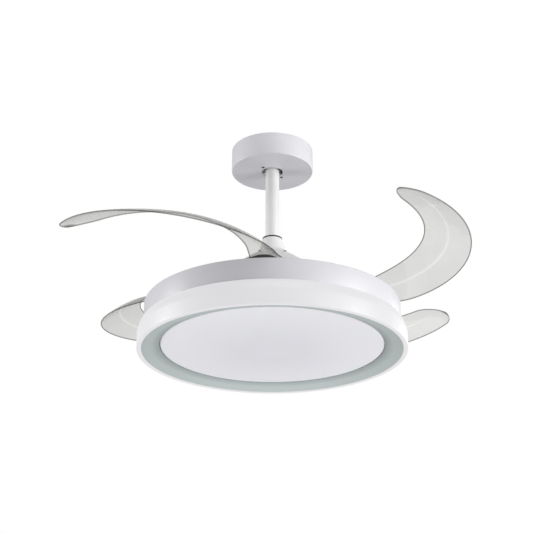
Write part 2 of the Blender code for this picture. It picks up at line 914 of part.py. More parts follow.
for k in range(BLADE_COUNT):
    number = k + 1
    turn = 90.0 * k
    axis = PIVOTS[k]
    px, py = turned(PIVOT, turn)
    point = (px, py, Z(0))

    # Clear blade, notched round its hub.
    blade = finish(
        "blade_%d" % number, turn_mesh(blade_mesh(), turn), "clear_plastic", origin=point, parent=axis
    )
    shape(blade, rod_mesh((px, py, Z(8)), (px, py, Z(34)), 16.0, 16))

    # Arm: gear, hub and the tongue under the blade's root, in one moulding.
    arm = finish(
        "blade_arm_%d" % number,
        turn_mesh(
            prism_mesh(
                gear_outline(
                    BLADE_TEETH,
                    PIVOT,
                    PIVOT_ANGLE + 180 + 180.0 / BLADE_TEETH,
                    BACKLASH / 2,
                    *MESHING_TEETH,
                ),
                Z(5.3),
                Z(9.6),
            ),
            turn,
        ),
        "nylon",
        origin=point,
        smooth=False,
        parent=axis,
    )
    shape(arm, rod_mesh((px, py, Z(9.0)), (px, py, Z(27.5)), 15.0, 16), "UNION")
    shape(
        arm,
        turn_mesh(prism_mesh(hull_of_two_circles(PIVOT, 14.0, SEAT, 12.0), Z(12.2), Z(16.2)), turn),
        "UNION",
    )
    shape(arm, rod_mesh((px, py, Z(0)), (px, py, Z(40)), 5.0 + GAP, 12))
    shape(arm, rod_mesh((px, py, Z(20.2)), (px, py, Z(40)), 9.2, 12))

    # Black cap that clamps the root from above.
    levels = []
    for shrink, h in ((0.0, 27.8), (0.0, 40.3), (2.0, 42.4)):
        outline = hull_of_two_circles(CAP_CENTRE, 25.0 - shrink, PIVOT, 15.0 - shrink, 14)
        levels.append((outline, Z(h)))
    finish(
        "blade_cap_%d" % number,
        turn_mesh(stack_mesh(levels), turn),
        "black_plastic",
        origin=point,
        parent=axis,
    )

    # Pivot pin through the carrier.
    lathe(
        "pivot_pin_%d" % number,
        [
            (0, Z(3.3)),
            (5.0, Z(3.3)),
            (5.0, Z(20.5)),
            (8.6, Z(20.5)),
            (8.6, Z(24.2)),
            (0, Z(24.2)),
        ],
        "zinc_steel",
        sides=12,
        centre=(px, py, 0),
        origin=point,
        parent=ROTOR,
    )
    shape(tray, rod_mesh((px, py, Z(0)), (px, py, Z(7)), 5.0 + GAP, 12))
    shape(lid, rod_mesh((px, py, Z(8)), (px, py, Z(14)), 15.9, 16))
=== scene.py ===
"""Looks for the ceiling fan: rounded visible pieces, finishes, soft light and the camera.

Every piece is made in the frame's own coordinates: the origin on the fan's axis at the ceiling, +Z up.
Lengths below are millimetres and turn into metres as a mesh is made. "h" is a height above the drum's top.
"""

import json
import math

import bmesh
import bpy
import numpy as np
from mathutils import Matrix, Vector


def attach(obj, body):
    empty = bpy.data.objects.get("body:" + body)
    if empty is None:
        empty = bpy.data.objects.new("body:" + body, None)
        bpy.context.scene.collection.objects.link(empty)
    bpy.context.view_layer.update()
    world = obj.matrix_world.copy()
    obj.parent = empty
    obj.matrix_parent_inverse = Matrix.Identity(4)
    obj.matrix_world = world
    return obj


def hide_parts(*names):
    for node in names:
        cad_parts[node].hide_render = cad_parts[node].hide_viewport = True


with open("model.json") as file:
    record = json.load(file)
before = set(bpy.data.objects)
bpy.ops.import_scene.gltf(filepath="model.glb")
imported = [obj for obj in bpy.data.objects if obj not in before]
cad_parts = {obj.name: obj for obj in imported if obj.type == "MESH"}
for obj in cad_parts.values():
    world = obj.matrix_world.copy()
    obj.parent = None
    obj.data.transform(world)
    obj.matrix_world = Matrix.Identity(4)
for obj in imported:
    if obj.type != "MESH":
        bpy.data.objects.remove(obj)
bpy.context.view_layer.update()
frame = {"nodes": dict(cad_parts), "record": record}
scene = bpy.context.scene

MM = 0.001
DROP = 333.0


def Z(h):
    return h - DROP


# ================================================================ camera
camera_data = bpy.data.cameras.new("camera")
camera_data.sensor_width = 36.0
camera_data.lens = 81.78
camera_data.shift_x = -0.0109
camera_data.shift_y = 0.0051
camera = bpy.data.objects.new("camera", camera_data)
camera.location = (0.0, -2.114, -1.159)
camera.rotation_euler = (math.radians(113.2), 0.0, 0.0)
scene.collection.objects.link(camera)
scene.camera = camera


# ================================================================ finishes
class Finish:
    """A material and short calls for its nodes."""

    def __init__(self, name):
        self.material = bpy.data.materials.new(name)
        self.material.use_nodes = True
        self.nodes = self.material.node_tree.nodes
        self.links = self.material.node_tree.links
        self.shader = self.nodes["Principled BSDF"]
        self.output = self.nodes["Material Output"]
        self.place = self.add("ShaderNodeTexCoord").outputs["Object"]

    def add(self, kind, **settings):
        node = self.nodes.new(kind)
        for key, value in settings.items():
            setattr(node, key, value)
        return node

    def link(self, a, b):
        self.links.new(a, b)
        return b

    def set(self, **values):
        for key, value in values.items():
            socket = self.shader.inputs[key.replace("_", " ")]
            socket.default_value = value
        return self

    def stretched(self, scale):
        node = self.add("ShaderNodeMapping")
        node.inputs["Scale"].default_value = scale
        self.link(self.place, node.inputs["Vector"])
        return node.outputs["Vector"]

    def noise(self, scale, detail=2.0, roughness=0.5, vector=None, distortion=0.0):
        node = self.add("ShaderNodeTexNoise")
        node.inputs["Scale"].default_value = scale
        node.inputs["Detail"].default_value = detail
        node.inputs["Roughness"].default_value = roughness
        node.inputs["Distortion"].default_value = distortion
        self.link(vector or self.place, node.inputs["Vector"])
        return node.outputs["Fac"]

    def span(self, value, low, high, source=(0.3, 0.7)):
        node = self.add("ShaderNodeMapRange")
        node.inputs["From Min"].default_value = source[0]
        node.inputs["From Max"].default_value = source[1]
        node.inputs["To Min"].default_value = low
        node.inputs["To Max"].default_value = high
        self.link(value, node.inputs["Value"])
        return node.outputs["Result"]

    def radial(self, inner, outer):
        """0 at one distance from the fan's axis and 1 at another, both in metres."""
        split = self.add("ShaderNodeSeparateXYZ")
        self.link(self.place, split.inputs[0])
        x, y = split.outputs[0], split.outputs[1]
        square = self.maths("ADD", self.maths("MULTIPLY", x, x), self.maths("MULTIPLY", y, y))
        return self.span(self.maths("SQRT", square), 0.0, 1.0, (inner, outer))

    def blend(self, value, first, second):
        """A colour between two, by a value from 0 to 1. Either may be a socket."""
        node = self.add("ShaderNodeMix", data_type="RGBA")
        self.link(value, node.inputs[0])
        for socket, colour in ((node.inputs[6], first), (node.inputs[7], second)):
            if isinstance(colour, tuple):
                socket.default_value = (*colour, 1.0)
            else:
                self.link(colour, socket)
        return node.outputs[2]

    def maths(self, operation, a, b=None):
        node = self.add("ShaderNodeMath", operation=operation)
        for socket, value in ((node.inputs[0], a), (node.inputs[1], b)):
            if value is None:
                continue
            if isinstance(value, (int, float)):
                socket.default_value = value
            else:
                self.link(value, socket)
        return node.outputs[0]

    def bump(self, height, strength, distance, onto=None):
        node = self.add("ShaderNodeBump")
        node.inputs["Strength"].default_value = strength
        node.inputs["Distance"].default_value = distance
        self.link(height, node.inputs["Height"])
        if onto is not None:
            self.link(onto, node.inputs["Normal"])
        return node.outputs["Normal"]

    def finish(self, colour=None, roughness=None, normal=None):
        for socket, value in (("Base Color", colour), ("Roughness", roughness), ("Normal", normal)):
            if value is not None:
                self.link(value, self.shader.inputs[socket])
        return self.material


def paint(name, colour, rough, coat, warm=0.007, coat_rough=0.30):
    """Sprayed and baked enamel: a faint orange peel, and a tone that drifts a little."""
    f = Finish(name)
    drift = f.noise(5.0, 2.0)
    shade = f.blend(
        f.span(drift, 0.0, 1.0, (0.15, 0.85)),
        tuple(c * (1 - warm) for c in colour),
        tuple(min(1.0, c * (1 + warm)) for c in colour),
    )
    roughness = f.span(f.noise(22.0, 3.0), rough - 0.04, rough + 0.04, (0.0, 1.0))
    peel = f.bump(f.noise(520.0, 2.0, 0.45), 0.035, 0.0003)
    f.set(Metallic=0.0, Coat_Weight=coat, Coat_Roughness=coat_rough, Specular_IOR_Level=0.5)
    return f.finish(shade, roughness, peel)


def moulded(name, colour, rough, grain=1500.0, strength=0.12, drift=0.015, spec=0.5, painted_glow=0.0):
    """Moulded plastic with the fine grain of a spark-eroded tool. Any emission given is painted light: it makes the
    plastic bright whatever light falls on it.
    """
    f = Finish(name)
    shade = f.blend(
        f.span(f.noise(8.0, 3.0), 0.0, 1.0),
        tuple(c * (1 - drift) for c in colour),
        tuple(min(1.0, c * (1 + drift)) for c in colour),
    )
    roughness = f.span(f.noise(90.0, 3.0), rough - 0.05, rough + 0.05)
    surface = f.bump(f.noise(grain, 3.0, 0.6), strength, 0.0003)
    f.set(Metallic=0.0, Specular_IOR_Level=spec)
    # Painted light: this emission makes the surface bright whatever lamps light it.
    if painted_glow:
        f.set(Emission_Color=(1.0, 0.985, 1.005, 1.0), Emission_Strength=painted_glow)
    return f.finish(shade, roughness, surface)


def brushed(name, colour, rough, along=(40.0, 40.0, 1400.0), spangle=0.0):
    """Drawn or turned metal: fine lines, a few dull patches, and zinc spangle where there is any."""
    f = Finish(name)
    lines = f.noise(1.0, 4.0, 0.6, f.stretched(along))
    patches = f.noise(70.0, 3.0)
    tone = f.maths("ADD", f.maths("MULTIPLY", lines, 0.5), f.maths("MULTIPLY", patches, 0.5))
    if spangle:
        cells = f.add("ShaderNodeTexVoronoi", feature="F1")
        cells.inputs["Scale"].default_value = 260.0
        f.link(f.place, cells.inputs["Vector"])
        bright = f.add("ShaderNodeSeparateColor")
        f.link(cells.outputs["Color"], bright.inputs["Color"])
        tone = f.maths(
            "ADD",
            f.maths("MULTIPLY", tone, 1 - spangle),
            f.maths("MULTIPLY", bright.outputs[0], spangle),
        )
    shade = f.blend(
        f.span(tone, 0.0, 1.0, (0.25, 0.75)),
        tuple(c * 0.86 for c in colour),
        tuple(min(1.0, c * 1.1) for c in colour),
    )
    roughness = f.span(tone, rough - 0.08, rough + 0.10)
    f.set(Metallic=1.0)
    return f.finish(shade, roughness, f.bump(lines, 0.10, 0.0002))


WHITE_PAINT = paint("enamel_white", (0.60, 0.592, 0.622), 0.36, 0.20, coat_rough=0.40)
# The canopy and the rod get their own lighter copies of the drum's white enamel. This is painted light, which sets
# how bright each part looks.
CANOPY_PAINT_LIT_COPY = paint("enamel_canopy_lit_copy", (0.63, 0.622, 0.65), 0.34, 0.30)
ROD_PAINT_LIT_COPY = paint("enamel_rod_lit_copy", (0.73, 0.73, 0.722), 0.34, 0.30)
WHITE_PLASTIC = moulded("plastic_white", (0.80, 0.792, 0.805), 0.46)
# The ring's own colour is dark. Most of its brightness is painted light, an emission that makes it evenly bright
# from every side.
RING_PLASTIC_PAINTED_GLOW = moulded("plastic_ring_painted_glow", (0.15, 0.149, 0.152), 0.40, 1500.0, 0.08, painted_glow=0.59)
COVER_PLASTIC = moulded("plastic_cover", (0.73, 0.73, 0.733), 0.42)
BLACK_PLASTIC = moulded("plastic_black", (0.010, 0.010, 0.011), 0.46, 900.0, 0.18, 0.10, 0.3)
NYLON = moulded("nylon_natural", (0.72, 0.71, 0.66), 0.55, 1100.0, 0.15)
RUBBER = moulded("rubber_black", (0.012, 0.012, 0.013), 0.80, 700.0, 0.35, 0.15, 0.3)
ZINC = brushed("steel_zinc", (0.60, 0.61, 0.62), 0.34, (60.0, 60.0, 500.0), 0.35)
DARK_STEEL = brushed("steel_dark", (0.10, 0.10, 0.11), 0.42, (300.0, 300.0, 2500.0))


def opal():
    """Opal light cover: milky, faintly cloudy, with a satin skin, and painted light that makes it lighter towards
    its outer edge.
    """
    f = Finish("plastic_opal")
    cloud = f.noise(7.0, 3.0)
    shade = f.blend(f.span(cloud, 0.0, 1.0), (0.700, 0.696, 0.730), (0.715, 0.712, 0.744))
    # Painted light: lighter towards the outer edge, evening out the shade that falls there in the recess.
    shade = f.blend(f.radial(0.060, 0.205), shade, (0.790, 0.787, 0.815))
    roughness = f.span(f.noise(50.0, 3.0), 0.36, 0.46)
    f.set(Subsurface_Weight=0.12, Subsurface_Scale=0.004, Specular_IOR_Level=0.4)
    return f.finish(shade, roughness, f.bump(f.noise(1300.0, 2.0), 0.05, 0.0002))


def silver():
    """Silver lacquer: fine metal flakes under a satin clear coat, with painted shade that darkens it next to its
    inner edge.
    """
    f = Finish("lacquer_silver")
    flakes = f.add("ShaderNodeTexVoronoi", feature="F1")
    flakes.inputs["Scale"].default_value = 2600.0
    f.link(f.place, flakes.inputs["Vector"])
    part = f.add("ShaderNodeSeparateColor")
    f.link(flakes.outputs["Color"], part.inputs["Color"])
    shade = f.blend(part.outputs[0], (0.425, 0.48, 0.478), (0.50, 0.55, 0.545))
    # Painted shade: darker next to the inner edge, where the cone meets the light cover.
    shade = f.blend(f.radial(0.208, 0.224), f.blend(part.outputs[0], (0.27, 0.31, 0.31), (0.33, 0.37, 0.37)), shade)
    roughness = f.span(f.noise(80.0, 3.0), 0.38, 0.48)
    f.set(Metallic=0.25, Coat_Weight=0.2, Coat_Roughness=0.25)
    return f.finish(shade, roughness, f.bump(f.noise(900.0, 2.0), 0.06, 0.0003))


def wound_copper():
    """Enamelled wire, lying in turns."""
    f = Finish("wire_copper")
    rings = f.add("ShaderNodeTexWave", wave_type="RINGS", rings_direction="Z", wave_profile="SIN")
    rings.inputs["Scale"].default_value = 300.0
    rings.inputs["Distortion"].default_value = 1.2
    rings.inputs["Detail"].default_value = 1.0
    f.link(f.place, rings.inputs["Vector"])
    shade = f.blend(rings.outputs["Fac"], (0.36, 0.13, 0.05), (0.80, 0.36, 0.17))
    f.set(Metallic=0.9, Coat_Weight=0.5, Coat_Roughness=0.15)
    return f.finish(shade, f.span(rings.outputs["Fac"], 0.45, 0.25, (0.0, 1.0)), f.bump(rings.outputs["Fac"], 0.5, 0.0004))


def circuit_board():
    """White board with rows of small light emitters."""
    f = Finish("board_white")
    rows = f.add("ShaderNodeTexVoronoi", feature="F1", distance="CHEBYCHEV")
    rows.inputs["Scale"].default_value = 40.0
    rows.inputs["Randomness"].default_value = 0.0
    f.link(f.place, rows.inputs["Vector"])
    chip = f.maths("LESS_THAN", rows.outputs["Distance"], 0.13)
    shade = f.blend(chip, (0.84, 0.84, 0.82), (0.80, 0.62, 0.20))
    return f.finish(shade, f.span(f.noise(120.0), 0.35, 0.55), f.bump(chip, 0.4, 0.0006))


OPAL = opal()
SILVER = silver()
COPPER = wound_copper()
BOARD = circuit_board()


def smoke_clear():
    """Clear plastic with a light smoke tint. Its edge, marked on the mesh, is painted shade: painted dark and given
    less gloss, standing in for the dark edges that light makes in clear plastic.
    """
    f = Finish("plastic_clear")
    f.nodes.remove(f.shader)
    edge_painted_shade = f.add("ShaderNodeAttribute", attribute_name="edge_painted_shade", attribute_type="GEOMETRY").outputs["Fac"]
    flow = f.noise(1.0, 3.0, 0.5, f.stretched((9.0, 9.0, 25.0)))
    wave = f.bump(flow, 0.30, 0.004)
    body = f.blend(f.span(flow, 0.0, 1.0), (0.833, 0.835, 0.824), (0.863, 0.865, 0.855))
    rib = f.add("ShaderNodeAttribute", attribute_name="rib", attribute_type="GEOMETRY").outputs["Fac"]
    # Painted highlight: a lighter line along the rib.
    body = f.blend(rib, body, (0.922, 0.924, 0.916))
    # Painted shade: the marked edges are painted dark.
    tint = f.blend(edge_painted_shade, body, (0.40, 0.40, 0.39))
    clear = f.add("ShaderNodeBsdfTransparent")
    f.link(tint, clear.inputs["Color"])
    gloss = f.add("ShaderNodeBsdfGlossy")
    gloss.inputs["Color"].default_value = (1.0, 1.0, 1.0, 1.0)
    f.link(f.span(f.noise(45.0, 3.0), 0.05, 0.10), gloss.inputs["Roughness"])
    f.link(wave, gloss.inputs["Normal"])
    slant = f.add("ShaderNodeLayerWeight")
    slant.inputs["Blend"].default_value = 0.5
    f.link(wave, slant.inputs["Normal"])
    mirrored = f.maths("ADD", f.maths("MULTIPLY", f.maths("POWER", slant.outputs["Facing"], 5.0), 0.50), 0.04)
    mirrored = f.maths("MULTIPLY", mirrored, f.span(edge_painted_shade, 1.0, 0.2, (0.0, 1.0)))
    both = f.add("ShaderNodeMixShader")
    f.link(mirrored, both.inputs[0])
    f.link(clear.outputs[0], both.inputs[1])
    f.link(gloss.outputs[0], both.inputs[2])
    f.link(both.outputs[0], f.output.inputs["Surface"])
    return f.material


CLEAR = smoke_clear()


# ================================================================ making pieces
def piece(name, data, material, body, stands_for=(), sharp=32.0):
    """Turns a bmesh in millimetres into a piece that rides on a body."""
    bmesh.ops.scale(data, verts=data.verts, vec=(MM, MM, MM))
    bmesh.ops.recalc_face_normals(data, faces=data.faces)
    if data.calc_volume(signed=True) < 0:
        bmesh.ops.reverse_faces(data, faces=data.faces)
    mesh = bpy.data.meshes.new(name)
    data.to_mesh(mesh)
    data.free()
    mesh.materials.append(material)
    mesh.shade_smooth()
    mesh.set_sharp_from_angle(angle=math.radians(sharp))
    obj = bpy.data.objects.new(name, mesh)
    scene.collection.objects.link(obj)
    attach(obj, body)
    if stands_for:
        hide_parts(*stands_for)
    return obj


def rounded(outline, steps=6):
    """Turns each corner (r, h, radius) of a closed outline into an arc. Corners without a radius stay sharp."""
    points = []
    count = len(outline)
    for i, corner in enumerate(outline):
        here = Vector(corner[:2])
        if len(corner) < 3 or not corner[2]:
            points.append(tuple(here))
            continue
        back = Vector(outline[i - 1][:2]) - here
        ahead = Vector(outline[(i + 1) % count][:2]) - here
        angle = back.angle(ahead)
        reach = min(corner[2] / math.tan(angle / 2), 0.49 * back.length, 0.49 * ahead.length)
        radius = reach * math.tan(angle / 2)
        centre = here + (back.normalized() + ahead.normalized()).normalized() * (
            radius / math.sin(angle / 2)
        )
        first = here + back.normalized() * reach - centre
        last = here + ahead.normalized() * reach - centre
        sweep = math.pi - angle
        for j in range(steps + 1):
            t = j / steps
            arm = (first * math.sin((1 - t) * sweep) + last * math.sin(t * sweep)) / math.sin(sweep)
            points.append(tuple(centre + arm))
    return points


def lathe_mesh(outline, sides, centre=(0.0, 0.0)):
    """Spins a closed outline of (radius, height) about the vertical axis."""
    made = bmesh.new()
    columns = []
    poles = {}
    for i, (r, z) in enumerate(outline):
        if r < 1e-6:
            poles[i] = made.verts.new((centre[0], centre[1], z))
    for k in range(sides):
        a = 2 * math.pi * k / sides
        c, s = math.cos(a), math.sin(a)
        columns.append(
            [
                poles.get(i) or made.verts.new((centre[0] + r * c, centre[1] + r * s, z))
                for i, (r, z) in enumerate(outline)
            ]
        )
    count = len(outline)
    for k in range(sides):
        here, there = columns[k], columns[(k + 1) % sides]
        for i in range(count):
            j = (i + 1) % count
            if i in poles and j in poles:
                continue
            if i in poles:
                made.faces.new((here[i], here[j], there[j]))
            elif j in poles:
                made.faces.new((here[i], here[j], there[i]))
            else:
                made.faces.new((here[i], here[j], there[j], there[i]))
    return made


def curve_through(points, per_span=6):
    """A smooth line through the points."""
    result = []
    padded = [points[0], *points, points[-1]]
    for i in range(1, len(padded) - 2):
        p0, p1, p2, p3 = (Vector(p) for p in padded[i - 1 : i + 3])
        for j in range(per_span):
            t = j / per_span
            result.append(
                tuple(
                    0.5
                    * (
                        2 * p1
                        + (p2 - p0) * t
                        + (2 * p0 - 5 * p1 + 4 * p2 - p3) * t * t
                        + (3 * p1 - p0 - 3 * p2 + p3) * t**3
                    )
                )
            )
    result.append(tuple(points[-1]))
    return result


def cut(obj, *cutters, operation="DIFFERENCE", bevel=0.0):
    """Cuts round holes, each (x, y, low, high, radius), clean through the mesh, or joins round bosses on."""
    holes = []
    for x, y, low, high, radius in cutters:
        data = bmesh.new()
        bmesh.ops.create_cone(
            data,
            cap_ends=True,
            segments=48,
            radius1=radius * MM,
            radius2=radius * MM,
            depth=(high - low) * MM,
        )
        if bevel:
            rims = [e for e in data.edges if len(e.link_faces) == 2 and e.verts[0].co.z > 0 and e.verts[1].co.z > 0]
            rims = [e for e in rims if any(len(f.verts) > 4 for f in e.link_faces)]
            bmesh.ops.bevel(data, geom=rims, offset=bevel * MM, segments=3, affect="EDGES", profile=0.5)
        bmesh.ops.translate(data, verts=data.verts, vec=(x * MM, y * MM, (low + high) / 2 * MM))
        mesh = bpy.data.meshes.new("cutter")
        data.to_mesh(mesh)
        data.free()
        hole = bpy.data.objects.new("cutter", mesh)
        hole.hide_render = True
        scene.collection.objects.link(hole)
        change = obj.modifiers.new("cut", "BOOLEAN")
        change.operation = operation
        change.solver = "EXACT"
        change.object = hole
        holes.append(hole)
    bpy.context.view_layer.update()
    made = bpy.data.meshes.new_from_object(
        obj.evaluated_get(bpy.context.evaluated_depsgraph_get())
    )
    obj.modifiers.clear()
    obj.data = made
    made.set_sharp_from_angle(angle=math.radians(32))
    for hole in holes:
        bpy.data.objects.remove(hole)
    return obj


def on_circle(radius, degrees, centre=(0.0, 0.0)):
    a = math.radians(degrees)
    return (centre[0] + radius * math.cos(a), centre[1] + radius * math.sin(a))


def turned(point, degrees):
    a = math.radians(degrees)
    x, y = point
    return (x * math.cos(a) - y * math.sin(a), x * math.sin(a) + y * math.cos(a))


# ================================================================ ceiling mount
CANOPY_R, CANOPY_H, HOLE_R = 79.5, 46.0, 20.5
SCREW_PLACES = [on_circle(27.5, 49), on_circle(27.5, 229)]
canopy = piece(
    "canopy_shell",
    lathe_mesh(
        rounded(
            [
                (CANOPY_R, -0.6, 0.5),
                (CANOPY_R, -CANOPY_H, 1.9),
                (HOLE_R, -CANOPY_H, 0.7),
                (HOLE_R, -CANOPY_H + 1.5, 0.4),
                (CANOPY_R - 1.5, -CANOPY_H + 1.5, 1.4),
                (CANOPY_R - 1.5, -0.6, 0.4),
            ]
        ),
        144,
    ),
    CANOPY_PAINT_LIT_COPY,
    "ceiling_mount",
    ("canopy",),
)
cut(canopy, *[(x, y, -CANOPY_H - 3, -CANOPY_H + 5, 3.4) for x, y in SCREW_PLACES])
for k, (x, y) in enumerate(SCREW_PLACES):
    screw = piece(
        "canopy_screw_dark_%d" % (k + 1),
        lathe_mesh(
            rounded(
                [
                    (0.0, -31.5),
                    (1.9, -31.5, 0.3),
                    (1.9, -CANOPY_H + 2.4),
                    (3.0, -CANOPY_H + 1.4, 0.2),
                    (3.0, -CANOPY_H + 0.2, 0.5),
                    (0.0, -CANOPY_H + 0.2),
                ]
            ),
            40,
            (x, y),
        ),
        DARK_STEEL,
        "ceiling_mount",
        ("canopy_screw_%d" % (k + 1),),
    )
    cut(screw, (x, y, -CANOPY_H - 2.0, -CANOPY_H + 1.3, 1.35))

# ================================================================ rod, cover and drum
ROD_R = 13.25
piece(
    "rod_tube",
    lathe_mesh(
        rounded(
            [
                (ROD_R, -11.2, 0.4),
                (ROD_R, Z(124), 0.4),
                (11.0, Z(124)),
                (11.0, -11.2),
            ]
        ),
        72,
    ),
    ROD_PAINT_LIT_COPY,
    "hanging_unit",
    ("down_rod",),
)
piece(
    "collar_ring",
    lathe_mesh(
        rounded(
            [
                (ROD_R + 0.3, Z(143.6)),
                (17.8, Z(143.6), 0.4),
                (17.2, Z(146.8), 1.0),
                (ROD_R + 0.3, Z(146.8), 0.4),
            ]
        ),
        72,
    ),
    WHITE_PLASTIC,
    "hanging_unit",
    ("rod_collar",),
)
piece(
    "gasket",
    lathe_mesh(
        rounded(
            [
                (ROD_R + 0.3, Z(140.5)),
                (18.95, Z(140.5), 0.4),
                (18.95, Z(143.5), 0.4),
                (ROD_R + 0.3, Z(143.5)),
            ]
        ),
        72,
    ),
    RUBBER,
    "hanging_unit",
    ("gasket_ring",),
)

TRUMPET = [
    (19.0, 140.4),
    (21.4, 132.5),
    (24.6, 120.0),
    (27.6, 113.0),
    (37.0, 106.0),
    (57.6, 91.2),
    (78.0, 76.6),
    (96.2, 63.3),
]
outer = [(r, Z(h)) for r, h in curve_through(TRUMPET, 8)]
foot = rounded(
    [outer[-1], (98.0, Z(62.0), 1.6), (100.0, Z(59.0), 1.8), (100.0, Z(56.5), 0.7), (98.5, Z(56.5), 0.5), (98.5, Z(58.6), 0.8), (96.9, Z(60.7))]
)[1:]
inner = [(r, Z(h)) for r, h in ((56.2, 88.6), (38.0, 101.9), (35.0, 104.6), (26.2, 112.0), (23.2, 119.0))]
cover = piece(
    "trumpet_cover",
    lathe_mesh(
        outer + foot + inner + [(17.4, Z(139.1)), (ROD_R + 0.3, Z(139.1)), (ROD_R + 0.3, Z(140.4))],
        144,
    ),
    COVER_PLASTIC,
    "hanging_unit",
    ("coupling_cover",),
)
COVER_SCREWS = [on_circle(48.0, a) for a in (-60, -120, 60, 120)]
cut(cover, *[(x, y, Z(87.3), Z(97.4), 3.8) for x, y in COVER_SCREWS], operation="UNION", bevel=0.4)
cut(cover, *[(x, y, Z(97.4), Z(112), 3.3) for x, y in COVER_SCREWS])
cut(cover, *[(x, y, Z(80), Z(112), 1.9) for x, y in COVER_SCREWS])
for k, (x, y) in enumerate(COVER_SCREWS):
    screw = piece(
        "cover_screw_dark_%d" % (k + 1),
        lathe_mesh(
            rounded(
                [
                    (0.0, Z(84.5)),
                    (1.6, Z(84.5), 0.3),
                    (1.6, Z(97.7)),
                    (2.7, Z(97.7), 0.2),
                    (2.7, Z(100.2), 1.1),
                    (0.0, Z(100.2)),
                ]
            ),
            40,
            (x, y),
        ),
        DARK_STEEL,
        "hanging_unit",
        ("cover_screw_%d" % (k + 1),),
    )
    cut(screw, (x, y, Z(98.8), Z(103), 1.25))

DRUM_R, DRUM_H, RING_R, RING_H, LIP_R = 239.0, 42.0, 250.0, 46.5, 241.5
LOW = -DRUM_H - RING_H
piece(
    "drum_upper",
    lathe_mesh(
        rounded(
            [
                (8.3, Z(0)),
                (DRUM_R, Z(0), 1.8),
                (DRUM_R, Z(-DRUM_H), 0.5),
                (DRUM_R - 1.6, Z(-DRUM_H), 0.4),
                (DRUM_R - 1.6, Z(-1.6), 1.2),
                (8.3, Z(-1.6)),
            ]
        ),
        240,
    ),
    WHITE_PAINT,
    "hanging_unit",
    ("drum_housing",),
)
piece(
    "drum_ring",
    lathe_mesh(
        rounded(
            [
                (DRUM_R + 0.3, Z(-40.6), 0.2),
                (DRUM_R + 3.6, Z(-40.6), 1.8),
                (RING_R - 3.6, Z(-46.4), 8.0),
                (RING_R, Z(-59.0), 22.0),
                (RING_R, Z(LOW), 1.8),
                (LIP_R, Z(LOW), 0.9),
                (LIP_R, Z(LOW + 2.2), 0.3),
                (RING_R - 2.4, Z(LOW + 3.0), 0.6),
                (RING_R - 2.4, Z(-59.0), 16.0),
                (RING_R - 6.8, Z(-45.6), 1.0),
                (224.0, Z(-45.4), 0.4),
                (224.0, Z(-DRUM_H - 0.3), 0.4),
                (DRUM_R + 0.3, Z(-DRUM_H - 0.3), 0.2),
            ]
        ),
        240,
    ),
    RING_PLASTIC_PAINTED_GLOW,
    "hanging_unit",
    ("lower_ring",),
)
piece(
    "silver_cone",
    lathe_mesh(
        rounded(
            [
                (LIP_R - 0.3, Z(LOW + 2.6)),
                (LIP_R - 0.3, Z(LOW + 1.2)),
                (207.9, Z(-78.0), 0.9),
                (207.9, Z(-71.2)),
                (215.0, Z(-71.2), 0.4),
                (215.0, Z(-72.4), 0.4),
                (209.3, Z(-72.4), 0.4),
                (209.3, Z(-77.0), 0.6),
            ]
        ),
        240,
    ),
    SILVER,
    "hanging_unit",
    ("reflector",),
)
dish_low = curve_through(
    [(0.0, -83.4), (90.0, -82.6), (170.0, -80.4), (198.0, -79.0), (205.4, -77.9), (207.3, -75.2)], 8
)
dish_high = curve_through(
    [(0.0, -81.6), (90.0, -80.8), (170.0, -78.6), (196.5, -77.2), (203.8, -76.2), (205.6, -74.4)], 8
)
piece(
    "light_dish",
    lathe_mesh(
        [(r, Z(h)) for r, h in dish_low]
        + rounded([(207.3, Z(-73)), (207.3, Z(-70.9)), (213.0, Z(-70.9), 0.5), (213.0, Z(-69.4), 0.5), (205.6, Z(-69.4), 0.5), (205.6, Z(-73))])
        + [(r, Z(h)) for r, h in reversed(dish_high)],
        240,
    ),
    OPAL,
    "hanging_unit",
    ("diffuser",),
)

# ================================================================ turning carrier and motor
PIVOT_R, PIVOT_ANGLE = 132.0, -18.5
PIVOT = on_circle(PIVOT_R, PIVOT_ANGLE)
TRAY_R = 174.5
piece(
    "motor_shell",
    lathe_mesh(
        rounded(
            [
                (10.5, Z(80.0), 0.8),
                (24.0, Z(80.0), 1.6),
                (26.0, Z(77.6), 1.0),
                (66.0, Z(76.6), 6.0),
                (77.0, Z(70.0), 8.0),
                (80.0, Z(60.0), 8.0),
                (80.0, Z(13.7), 0.8),
                (77.6, Z(13.7), 0.4),
                (77.6, Z(59.6), 4.0),
                (64.6, Z(74.4), 4.0),
                (20.0, Z(75.0)),
                (20.0, Z(67.0)),
                (15.3, Z(67.0)),
                (15.3, Z(76.2)),
                (10.5, Z(76.2)),
            ]
        ),
        112,
    ),
    WHITE_PAINT,
    "rotor",
    ("motor_cover",),
)
tray = piece(
    "carrier_tray",
    lathe_mesh(
        rounded(
            [
                (21.0, Z(3.2), 0.4),
                (TRAY_R, Z(3.2), 1.2),
                (TRAY_R, Z(9.8), 0.3),
                (TRAY_R - 1.6, Z(9.8), 0.3),
                (TRAY_R - 1.6, Z(4.8), 0.6),
                (21.0, Z(4.8), 0.4),
            ]
        ),
        160,
    ),
    WHITE_PLASTIC,
    "rotor",
    ("blade_carrier",),
)
lid = piece(
    "carrier_lid",
    lathe_mesh(
        rounded(
            [
                (81.2, Z(10.1), 0.3),
                (TRAY_R, Z(10.1), 0.2),
                (TRAY_R, Z(11.5), 1.0),
                (81.2, Z(11.5), 0.5),
            ]
        ),
        160,
    ),
    WHITE_PLASTIC,
    "rotor",
    ("carrier_cover",),
)
pivots = [turned(PIVOT, 90 * k) for k in range(4)]
cut(tray, *[(x, y, Z(0), Z(7), 5.3) for x, y in pivots])
cut(lid, *[(x, y, Z(8), Z(14), 15.9) for x, y in pivots])

